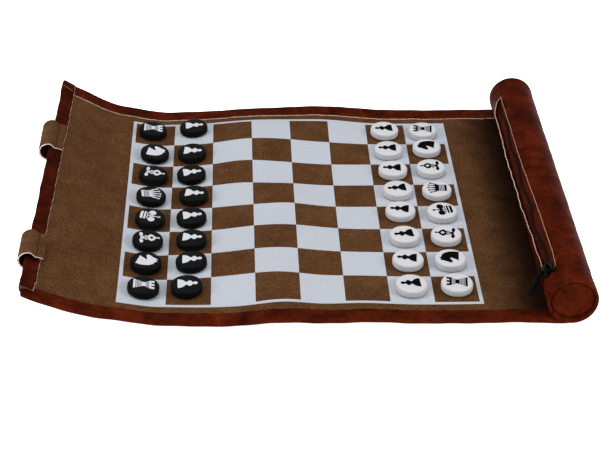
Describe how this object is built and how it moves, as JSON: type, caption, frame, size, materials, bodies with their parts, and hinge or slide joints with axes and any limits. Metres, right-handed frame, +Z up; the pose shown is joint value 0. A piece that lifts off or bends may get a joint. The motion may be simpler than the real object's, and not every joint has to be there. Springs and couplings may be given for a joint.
{
  "type": "chess set",
  "caption": "Roll-up travel chess set: leather mat with printed board, flat disc pieces, snap straps at one end and an open zip pouch along the other.",
  "frame": {"origin": "centre of the bounding box in plan, on the surface the mat lies on", "axes": "+Z up, +X from the strap end to the pouch end, +Y from the near edge to the far edge of the board"},
  "size_m": [0.3442, 0.254, 0.0326],
  "materials": {
    "leather": "waxed, mottled, soft sheen",
    "hem_leather": "waxed, soft sheen",
    "suede": "matt suede",
    "strap_suede": "matt suede with pale raw edges",
    "white_print": "matt screen-printed ink",
    "black_plastic": "satin moulded",
    "white_plastic": "satin moulded",
    "brass": "antique plated",
    "zip_tape": "woven tape",
    "zip_coil": "moulded coil",
    "black_metal": "gloss black enamel",
    "black_leather": "soft sheen"
  },
  "bodies": {
    "board": {"board_leather": "leather", "board_lining": "suede", "board_print": "white_print", "snap_studs": "brass"},
    "left_strip": {"left_leather": "leather", "left_lining": "suede"},
    "end_flap": {"flap_leather": "leather", "flap_lining": "suede", "flap_hem": "hem_leather", "strap_loops": "strap_suede"},
    "strap_far": {"strap_far": "strap_suede", "snap_cap_far": "brass"},
    "strap_near": {"strap_near": "strap_suede", "snap_cap_near": "brass"},
    "right_strip_a": {"right_a_leather": "leather", "right_a_lining": "suede"},
    "right_strip_b": {"right_b_leather": "leather", "right_b_lining": "suede"},
    "pouch": {"pouch_shell": "leather", "pouch_lining": "suede", "pouch_hems": "hem_leather", "far_end_cap": "leather", "near_end_cap": "leather", "zip_tapes": "zip_tape", "zip_coils": "zip_coil"},
    "zip_slider": {"zip_slider": "black_metal"},
    "zip_pull": {"pull_ring": "black_metal", "zip_pull": "black_leather"},
    "dark_rook_1": {"dark_rook_1": "black_plastic"},
    "dark_knight_1": {"dark_knight_1": "black_plastic"},
    "dark_bishop_1": {"dark_bishop_1": "black_plastic"},
    "dark_queen": {"dark_queen": "black_plastic"},
    "dark_king": {"dark_king": "black_plastic"},
    "dark_bishop_2": {"dark_bishop_2": "black_plastic"},
    "dark_knight_2": {"dark_knight_2": "black_plastic"},
    "dark_rook_2": {"dark_rook_2": "black_plastic"},
    "dark_pawn_1": {"dark_pawn_1": "black_plastic"},
    "dark_pawn_2": {"dark_pawn_2": "black_plastic"},
    "dark_pawn_3": {"dark_pawn_3": "black_plastic"},
    "dark_pawn_4": {"dark_pawn_4": "black_plastic"},
    "dark_pawn_5": {"dark_pawn_5": "black_plastic"},
    "dark_pawn_6": {"dark_pawn_6": "black_plastic"},
    "dark_pawn_7": {"dark_pawn_7": "black_plastic"},
    "dark_pawn_8": {"dark_pawn_8": "black_plastic"},
    "light_rook_1": {"light_rook_1": "white_plastic"},
    "light_knight_1": {"light_knight_1": "white_plastic"},
    "light_bishop_1": {"light_bishop_1": "white_plastic"},
    "light_queen": {"light_queen": "white_plastic"},
    "light_king": {"light_king": "white_plastic"},
    "light_bishop_2": {"light_bishop_2": "white_plastic"},
    "light_knight_2": {"light_knight_2": "white_plastic"},
    "light_rook_2": {"light_rook_2": "white_plastic"},
    "light_pawn_1": {"light_pawn_1": "white_plastic"},
    "light_pawn_2": {"light_pawn_2": "white_plastic"},
    "light_pawn_3": {"light_pawn_3": "white_plastic"},
    "light_pawn_4": {"light_pawn_4": "white_plastic"},
    "light_pawn_5": {"light_pawn_5": "white_plastic"},
    "light_pawn_6": {"light_pawn_6": "white_plastic"},
    "light_pawn_7": {"light_pawn_7": "white_plastic"},
    "light_pawn_8": {"light_pawn_8": "white_plastic"}
  },
  "joints": [
    {"name": "pouch_roll", "type": "hinge", "parent": "board", "child": "right_strip_a", "pos_m": [0.11495, 0, 0.00371], "axis": [0, 1, 0], "range_deg": [-35, 0]},
    {"name": "pouch_roll_2", "type": "hinge", "parent": "right_strip_a", "child": "right_strip_b", "pos_m": [0.12695, 0, 0.00368], "axis": [0, 1, 0], "range_deg": [-35, 0]},
    {"name": "pouch_roll_3", "type": "hinge", "parent": "right_strip_b", "child": "pouch", "pos_m": [0.13895, 0, 0.00368], "axis": [0, 1, 0], "range_deg": [-35, 0]},
    {"name": "flap_curl", "type": "hinge", "parent": "board", "child": "left_strip", "pos_m": [-0.12105, 0, 0.00993], "axis": [0, -1, 0], "range_deg": [-55, 5]},
    {"name": "flap_curl_2", "type": "hinge", "parent": "left_strip", "child": "end_flap", "pos_m": [-0.13705, 0, 0.01543], "axis": [0, -1, 0], "range_deg": [-55, 5]},
    {"name": "strap_far_swing", "type": "hinge", "parent": "end_flap", "child": "strap_far", "pos_m": [-0.17203, 0.052, 0.02474], "axis": [0, 1, 0], "range_deg": [0, 150]},
    {"name": "strap_near_swing", "type": "hinge", "parent": "end_flap", "child": "strap_near", "pos_m": [-0.17203, -0.08, 0.02474], "axis": [0, 1, 0], "range_deg": [0, 150]},
    {"name": "zip_slide", "type": "slide", "parent": "pouch", "child": "zip_slider", "axis": [0, 1, 0], "range_m": [0, 0.2]},
    {"name": "pull_swing", "type": "hinge", "parent": "zip_slider", "child": "zip_pull", "pos_m": [0.14127, -0.1045, 0.02319], "axis": [0, 1, 0], "range_deg": [0, 150]},
    {"name": "dark_rook_1_lift", "type": "slide", "parent": "board", "child": "dark_rook_1", "axis": [0, 0, 1], "range_m": [0, 0.03]},
    {"name": "dark_knight_1_lift", "type": "slide", "parent": "board", "child": "dark_knight_1", "axis": [0, 0, 1], "range_m": [0, 0.03]},
    {"name": "dark_bishop_1_lift", "type": "slide", "parent": "board", "child": "dark_bishop_1", "axis": [0, 0, 1], "range_m": [0, 0.03]},
    {"name": "dark_queen_lift", "type": "slide", "parent": "board", "child": "dark_queen", "axis": [0, 0, 1], "range_m": [0, 0.03]},
    {"name": "dark_king_lift", "type": "slide", "parent": "board", "child": "dark_king", "axis": [0, 0, 1], "range_m": [0, 0.03]},
    {"name": "dark_bishop_2_lift", "type": "slide", "parent": "board", "child": "dark_bishop_2", "axis": [0, 0, 1], "range_m": [0, 0.03]},
    {"name": "dark_knight_2_lift", "type": "slide", "parent": "board", "child": "dark_knight_2", "axis": [0, 0, 1], "range_m": [0, 0.03]},
    {"name": "dark_rook_2_lift", "type": "slide", "parent": "board", "child": "dark_rook_2", "axis": [0, 0, 1], "range_m": [0, 0.03]},
    {"name": "dark_pawn_1_lift", "type": "slide", "parent": "board", "child": "dark_pawn_1", "axis": [0, 0, 1], "range_m": [0, 0.03]},
    {"name": "dark_pawn_2_lift", "type": "slide", "parent": "board", "child": "dark_pawn_2", "axis": [0, 0, 1], "range_m": [0, 0.03]},
    {"name": "dark_pawn_3_lift", "type": "slide", "parent": "board", "child": "dark_pawn_3", "axis": [0, 0, 1], "range_m": [0, 0.03]},
    {"name": "dark_pawn_4_lift", "type": "slide", "parent": "board", "child": "dark_pawn_4", "axis": [0, 0, 1], "range_m": [0, 0.03]},
    {"name": "dark_pawn_5_lift", "type": "slide", "parent": "board", "child": "dark_pawn_5", "axis": [0, 0, 1], "range_m": [0, 0.03]},
    {"name": "dark_pawn_6_lift", "type": "slide", "parent": "board", "child": "dark_pawn_6", "axis": [0, 0, 1], "range_m": [0, 0.03]},
    {"name": "dark_pawn_7_lift", "type": "slide", "parent": "board", "child": "dark_pawn_7", "axis": [0, 0, 1], "range_m": [0, 0.03]},
    {"name": "dark_pawn_8_lift", "type": "slide", "parent": "board", "child": "dark_pawn_8", "axis": [0, 0, 1], "range_m": [0, 0.03]},
    {"name": "light_rook_1_lift", "type": "slide", "parent": "board", "child": "light_rook_1", "axis": [0, 0, 1], "range_m": [0, 0.03]},
    {"name": "light_knight_1_lift", "type": "slide", "parent": "board", "child": "light_knight_1", "axis": [0, 0, 1], "range_m": [0, 0.03]},
    {"name": "light_bishop_1_lift", "type": "slide", "parent": "board", "child": "light_bishop_1", "axis": [0, 0, 1], "range_m": [0, 0.03]},
    {"name": "light_queen_lift", "type": "slide", "parent": "board", "child": "light_queen", "axis": [0, 0, 1], "range_m": [0, 0.03]},
    {"name": "light_king_lift", "type": "slide", "parent": "board", "child": "light_king", "axis": [0, 0, 1], "range_m": [0, 0.03]},
    {"name": "light_bishop_2_lift", "type": "slide", "parent": "board", "child": "light_bishop_2", "axis": [0, 0, 1], "range_m": [0, 0.03]},
    {"name": "light_knight_2_lift", "type": "slide", "parent": "board", "child": "light_knight_2", "axis": [0, 0, 1], "range_m": [0, 0.03]},
    {"name": "light_rook_2_lift", "type": "slide", "parent": "board", "child": "light_rook_2", "axis": [0, 0, 1], "range_m": [0, 0.03]},
    {"name": "light_pawn_1_lift", "type": "slide", "parent": "board", "child": "light_pawn_1", "axis": [0, 0, 1], "range_m": [0, 0.03]},
    {"name": "light_pawn_2_lift", "type": "slide", "parent": "board", "child": "light_pawn_2", "axis": [0, 0, 1], "range_m": [0, 0.03]},
    {"name": "light_pawn_3_lift", "type": "slide", "parent": "board", "child": "light_pawn_3", "axis": [0, 0, 1], "range_m": [0, 0.03]},
    {"name": "light_pawn_4_lift", "type": "slide", "parent": "board", "child": "light_pawn_4", "axis": [0, 0, 1], "range_m": [0, 0.03]},
    {"name": "light_pawn_5_lift", "type": "slide", "parent": "board", "child": "light_pawn_5", "axis": [0, 0, 1], "range_m": [0, 0.03]},
    {"name": "light_pawn_6_lift", "type": "slide", "parent": "board", "child": "light_pawn_6", "axis": [0, 0, 1], "range_m": [0, 0.03]},
    {"name": "light_pawn_7_lift", "type": "slide", "parent": "board", "child": "light_pawn_7", "axis": [0, 0, 1], "range_m": [0, 0.03]},
    {"name": "light_pawn_8_lift", "type": "slide", "parent": "board", "child": "light_pawn_8", "axis": [0, 0, 1], "range_m": [0, 0.03]}
  ],
  "couplings": [
    {"joint": "pouch_roll_2", "follows": "pouch_roll", "ratio": 1},
    {"joint": "pouch_roll_3", "follows": "pouch_roll", "ratio": 1},
    {"joint": "flap_curl_2", "follows": "flap_curl", "ratio": 1}
  ]
}
